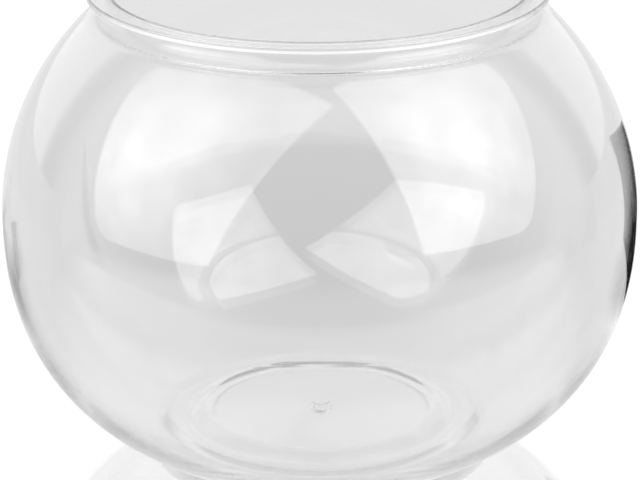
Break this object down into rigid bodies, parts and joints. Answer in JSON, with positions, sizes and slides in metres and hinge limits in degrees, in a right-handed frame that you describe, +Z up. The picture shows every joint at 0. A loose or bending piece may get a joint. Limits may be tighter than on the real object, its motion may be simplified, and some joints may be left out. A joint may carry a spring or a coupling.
{
  "type": "yarn bowl",
  "caption": "Clear round plastic bowl with a flanged mouth, a flat standing ring and a pushed-up base, for holding a ball of yarn.",
  "frame": {"origin": "on the bowl's axis, at the level of the standing ring", "axes": "+Z up along the bowl's axis, out of the mouth; X and Y are any two directions across it"},
  "size_m": [0.1524, 0.1524, 0.1143],
  "materials": {
    "clear_plastic": "clear, colourless, polished moulded plastic"
  },
  "bodies": {
    "root": {"bowl": "clear_plastic"}
  },
  "joints": []
}
